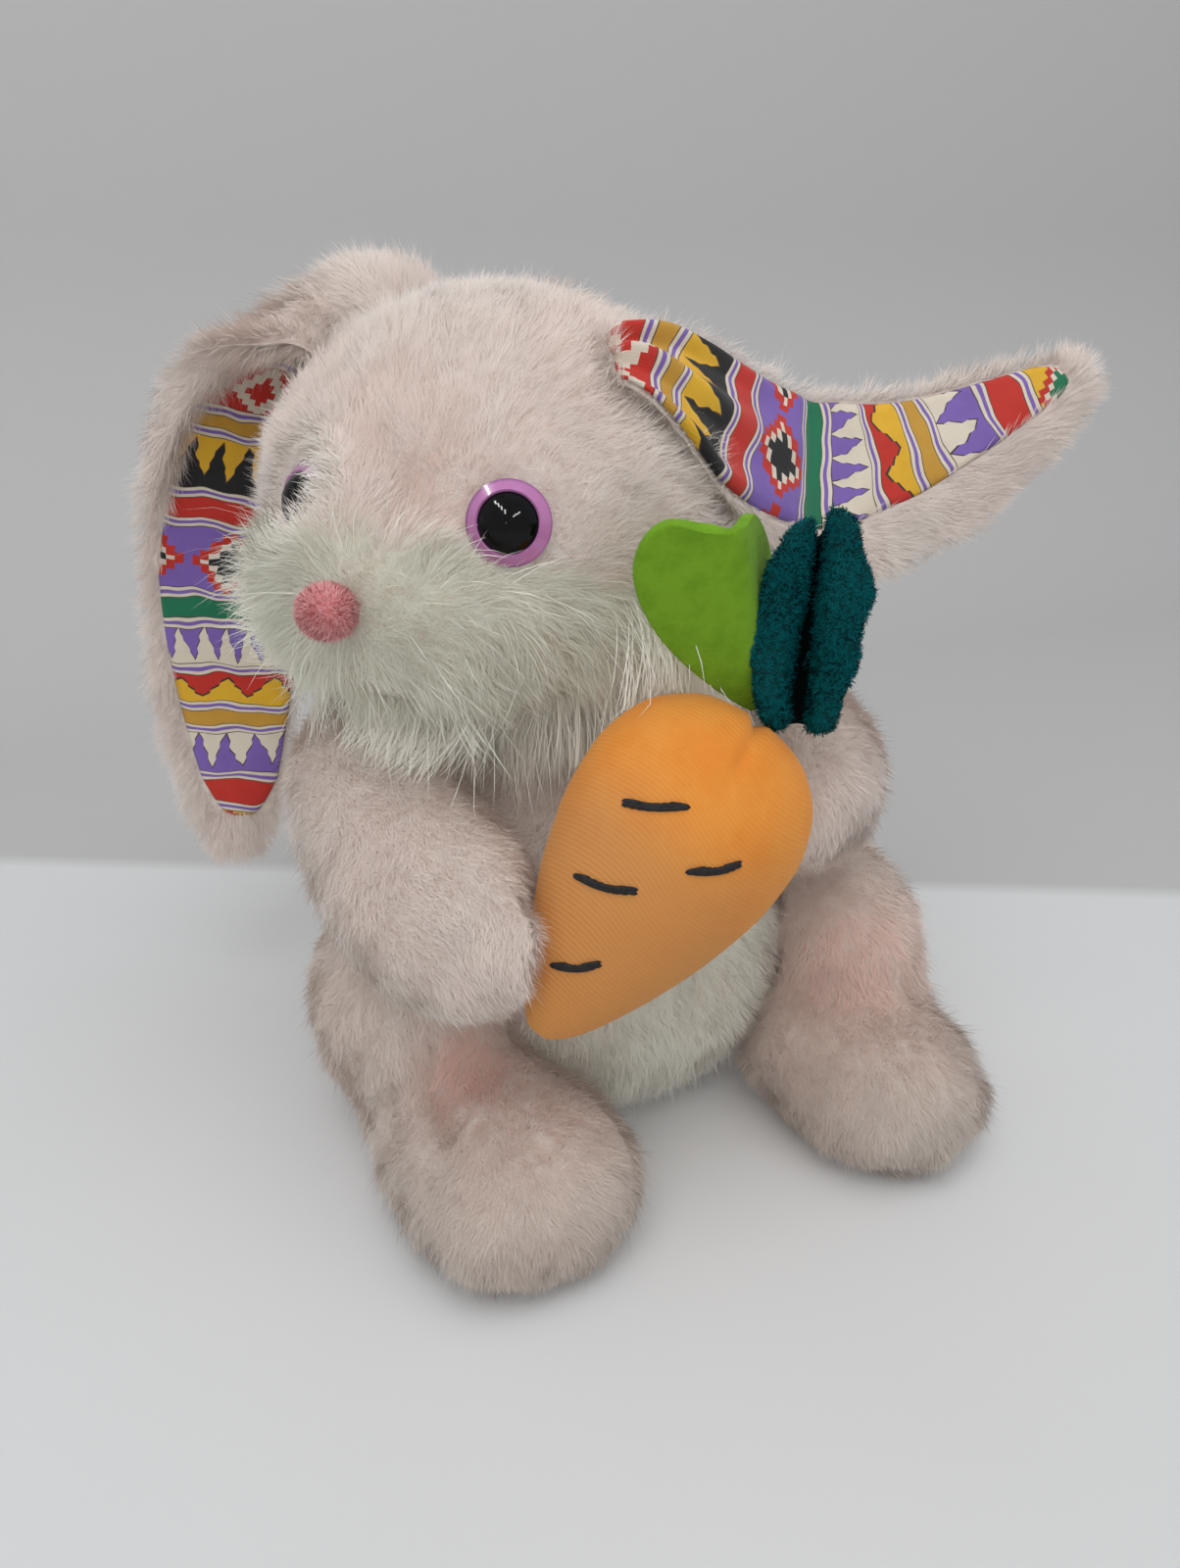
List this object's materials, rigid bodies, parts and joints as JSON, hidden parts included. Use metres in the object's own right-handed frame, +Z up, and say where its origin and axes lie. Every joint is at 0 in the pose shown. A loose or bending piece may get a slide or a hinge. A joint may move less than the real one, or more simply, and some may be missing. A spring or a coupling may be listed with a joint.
{
  "type": "stuffed bunny rabbit",
  "caption": "Seated plush rabbit with floppy printed-lined ears, its head turned to one side, hugging a stuffed felt-leaved carrot against its tummy.",
  "frame": {"origin": "on the surface the toy sits on, under the middle of its seat", "axes": "+Z up, -Y the way the toy's torso and feet face, +X the toy's own left side"},
  "size_m": [0.2515, 0.1934, 0.2375],
  "materials": {
    "pink_pile": "long soft pile",
    "cream_pile": "long soft pile",
    "fibre_fill": "loose polyester fibre",
    "printed_cotton": "matte print of stepped bands in several colours",
    "orange_velour": "short ribbed velour",
    "pink_pompom": "fuzzy",
    "black_thread": "embroidery thread",
    "lime_felt": "smooth felt",
    "teal_fleece": "curly fleece",
    "orchid_plastic": "pearly gloss",
    "black_plastic": "polished",
    "white_plastic": "moulded"
  },
  "bodies": {
    "body": {"body_skin": "pink_pile", "tummy_panel": "cream_pile", "body_stuffing": "fibre_fill", "tail": "pink_pile", "carrot_front": "orange_velour", "carrot_back": "orange_velour", "carrot_stuffing": "fibre_fill", "carrot_stitches": "black_thread"},
    "head": {"head_skin": "pink_pile", "muzzle_panel": "cream_pile", "head_stuffing": "fibre_fill", "nose": "pink_pompom", "left_iris": "orchid_plastic", "right_iris": "orchid_plastic", "left_pupil": "black_plastic", "right_pupil": "black_plastic", "left_eye_washer": "white_plastic", "right_eye_washer": "white_plastic"},
    "right_ear": {"right_ear_back": "pink_pile", "right_ear_lining": "printed_cotton"},
    "left_ear": {"left_ear_back": "pink_pile", "left_ear_lining": "printed_cotton"},
    "right_arm": {"right_arm_skin": "pink_pile", "right_arm_stuffing": "fibre_fill"},
    "left_arm": {"left_arm_skin": "pink_pile", "left_arm_stuffing": "fibre_fill"},
    "right_leg": {"right_leg_skin": "pink_pile", "right_leg_stuffing": "fibre_fill"},
    "left_leg": {"left_leg_skin": "pink_pile", "left_leg_stuffing": "fibre_fill"},
    "lime_leaf": {"lime_leaf": "lime_felt"},
    "teal_leaf": {"teal_leaf": "teal_fleece"}
  },
  "joints": [
    {"name": "neck_turn", "type": "hinge", "parent": "body", "child": "head", "pos_m": [-0.024, 0.012, 0.13], "axis": [-0.1684, 0.0842, 0.9821], "range_deg": [-15, 10], "stiffness_Nm_per_rad": 0.4},
    {"name": "right_ear_lift", "type": "hinge", "parent": "head", "child": "right_ear", "pos_m": [-0.04855, 0.05995, 0.22518], "axis": [0.806, 0.5919, 0], "range_deg": [0, 60], "stiffness_Nm_per_rad": 0.08},
    {"name": "left_ear_lift", "type": "hinge", "parent": "head", "child": "left_ear", "pos_m": [-0.01405, -0.02471, 0.21918], "axis": [-0.0523, -0.9986, 0], "range_deg": [0, 30], "stiffness_Nm_per_rad": 0.12},
    {"name": "right_arm_open", "type": "hinge", "parent": "body", "child": "right_arm", "pos_m": [-0.06, 0.026, 0.1], "axis": [0, 0, -1], "range_deg": [0, 30], "stiffness_Nm_per_rad": 0.15},
    {"name": "left_arm_open", "type": "hinge", "parent": "body", "child": "left_arm", "pos_m": [0.03, 0.028, 0.1], "axis": [0, 0, 1], "range_deg": [0, 30], "stiffness_Nm_per_rad": 0.15},
    {"name": "right_leg_open", "type": "hinge", "parent": "body", "child": "right_leg", "pos_m": [-0.05, 0.026, 0.03], "axis": [0, 0, -1], "range_deg": [0, 20], "stiffness_Nm_per_rad": 0.3},
    {"name": "left_leg_open", "type": "hinge", "parent": "body", "child": "left_leg", "pos_m": [0.046, 0.024, 0.03], "axis": [0, 0, 1], "range_deg": [0, 20], "stiffness_Nm_per_rad": 0.3},
    {"name": "lime_leaf_bend", "type": "hinge", "parent": "body", "child": "lime_leaf", "pos_m": [0.009, -0.06, 0.138], "axis": [0.6, -0.8, 0], "range_deg": [0, 12], "stiffness_Nm_per_rad": 0.02},
    {"name": "teal_leaf_bend", "type": "hinge", "parent": "body", "child": "teal_leaf", "pos_m": [0.021, -0.063, 0.13], "axis": [0.8601, -0.5101, 0], "range_deg": [0, 12], "stiffness_Nm_per_rad": 0.02}
  ]
}
